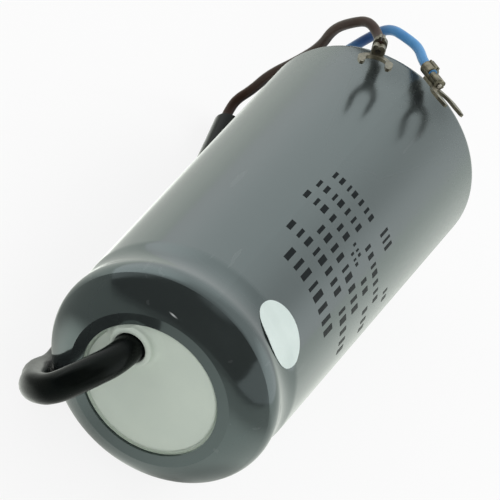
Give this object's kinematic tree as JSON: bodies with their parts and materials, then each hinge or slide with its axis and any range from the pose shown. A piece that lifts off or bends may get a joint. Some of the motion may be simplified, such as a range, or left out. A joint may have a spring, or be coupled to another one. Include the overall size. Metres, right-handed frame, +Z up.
{
  "type": "motor start capacitor",
  "caption": "Cylindrical motor start capacitor: sleeved metal can with a rolled mouth, pale moulded cover, two-core cable and fork terminals.",
  "frame": {"origin": "on the floor under the middle of the can with its cover boss, the free cable left out", "axes": "+Y along the can to its closed end, +Z up; the can lies on its side, mouth and cable at -Y"},
  "size_m": [0.0558, 0.133, 0.0572],
  "materials": {
    "sleeve_grey": "glossy shrunk film",
    "aluminium_can": "drawn, dull",
    "cover_plastic": "moulded, fine matte",
    "gasket_rubber": "matte",
    "wound_roll": "paper and foil roll, damp",
    "roll_tape": "thin tape",
    "pressboard": "dull board",
    "foil_tab": "soft sheet",
    "splice_metal": "tinned",
    "clamp_metal": "dull",
    "sheath_black": "smooth, half gloss",
    "core_brown": "smooth",
    "core_blue": "smooth",
    "tinned_terminal": "tinned, slightly tarnished",
    "copper_strands": "bare copper",
    "sticker_white": "smooth paper"
  },
  "bodies": {
    "root": {"can": "aluminium_can", "sleeve": "sleeve_grey", "cover": "cover_plastic", "sealing_gasket": "gasket_rubber", "winding": "wound_roll", "winding_tape": "roll_tape", "base_pad": "pressboard", "top_insulator": "pressboard", "tab_brown": "foil_tab", "tab_blue": "foil_tab", "splice_brown": "splice_metal", "splice_blue": "splice_metal", "inner_core_brown": "core_brown", "inner_core_blue": "core_blue", "cable_clamp": "clamp_metal", "sheath_tail": "sheath_black", "round_sticker": "sticker_white", "cable_sheath": "sheath_black", "wire_brown": "core_brown", "wire_blue": "core_blue", "fork_brown": "tinned_terminal", "fork_blue": "tinned_terminal", "strands_brown": "copper_strands", "strands_blue": "copper_strands"}
  },
  "joints": []
}
